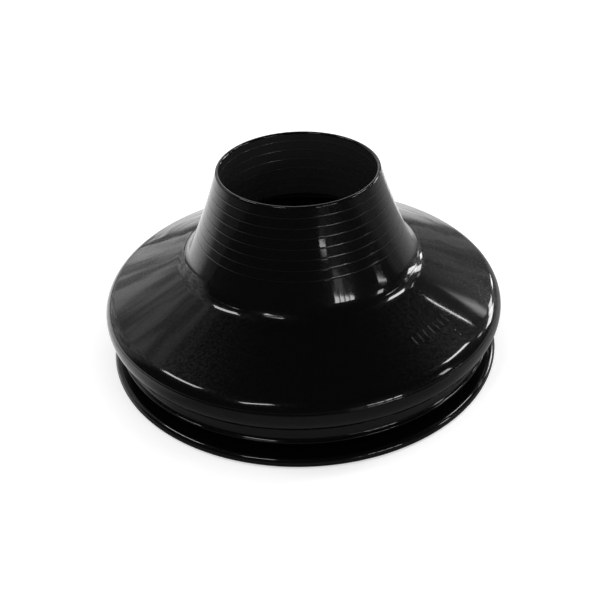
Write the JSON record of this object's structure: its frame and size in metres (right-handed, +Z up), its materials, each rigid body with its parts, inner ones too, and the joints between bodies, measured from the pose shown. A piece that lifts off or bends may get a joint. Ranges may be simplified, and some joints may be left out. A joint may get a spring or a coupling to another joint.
{
  "type": "drysuit neck seal",
  "caption": "One-piece moulded silicone neck seal: trimmable cone with a turned-in rim, flared shoulder, round bulge and a docking slot over a base flange.",
  "frame": {"origin": "middle of the flat face that the foot flange stands on", "axes": "+Z up along the axis of the seal, through the neck opening; the seal is the same all round"},
  "size_m": [0.23, 0.23, 0.116],
  "materials": {
    "seal_rubber": "glossy black moulded silicone"
  },
  "bodies": {
    "root": {"neck_seal": "seal_rubber"}
  },
  "joints": []
}
